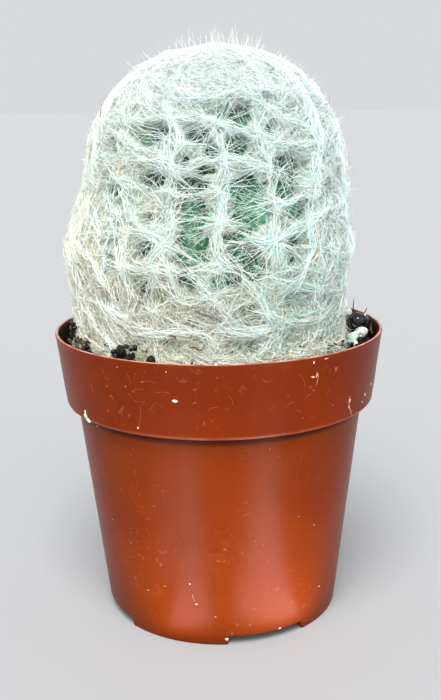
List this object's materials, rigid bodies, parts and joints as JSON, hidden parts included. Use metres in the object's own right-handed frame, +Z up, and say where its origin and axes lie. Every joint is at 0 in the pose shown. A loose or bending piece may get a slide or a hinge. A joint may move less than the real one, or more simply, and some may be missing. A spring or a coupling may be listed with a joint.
{
  "type": "potted column cactus",
  "caption": "Young woolly column cactus with green ribs under a coat of long white hair, rooted in potting mix in a small tapered nursery pot with a tall collar.",
  "frame": {"origin": "middle of the pot's base, on the plane that its four feet stand on", "axes": "+Z up along the pot's axis and the plant's length; -Y faces the viewer of the picture; +X is the viewer's right"},
  "size_m": [0.065, 0.065, 0.115],
  "materials": {
    "pot_plastic": "satin moulded polypropylene",
    "potting_mix": "damp peat and bark, loose",
    "stem_skin": "waxy living skin",
    "wool_hair": "fine silky white hair",
    "perlite": "rough expanded mineral grain",
    "bark": "dark composted bark"
  },
  "bodies": {
    "root": {"pot": "pot_plastic", "soil": "potting_mix", "stem": "stem_skin", "wool": "wool_hair", "perlite_1": "perlite", "perlite_2": "perlite", "perlite_3": "perlite", "perlite_4": "perlite", "perlite_5": "perlite", "bark_lump": "bark", "bark_clod_1": "bark", "bark_clod_2": "bark", "bark_chip_1": "bark", "bark_chip_2": "bark"}
  },
  "joints": []
}
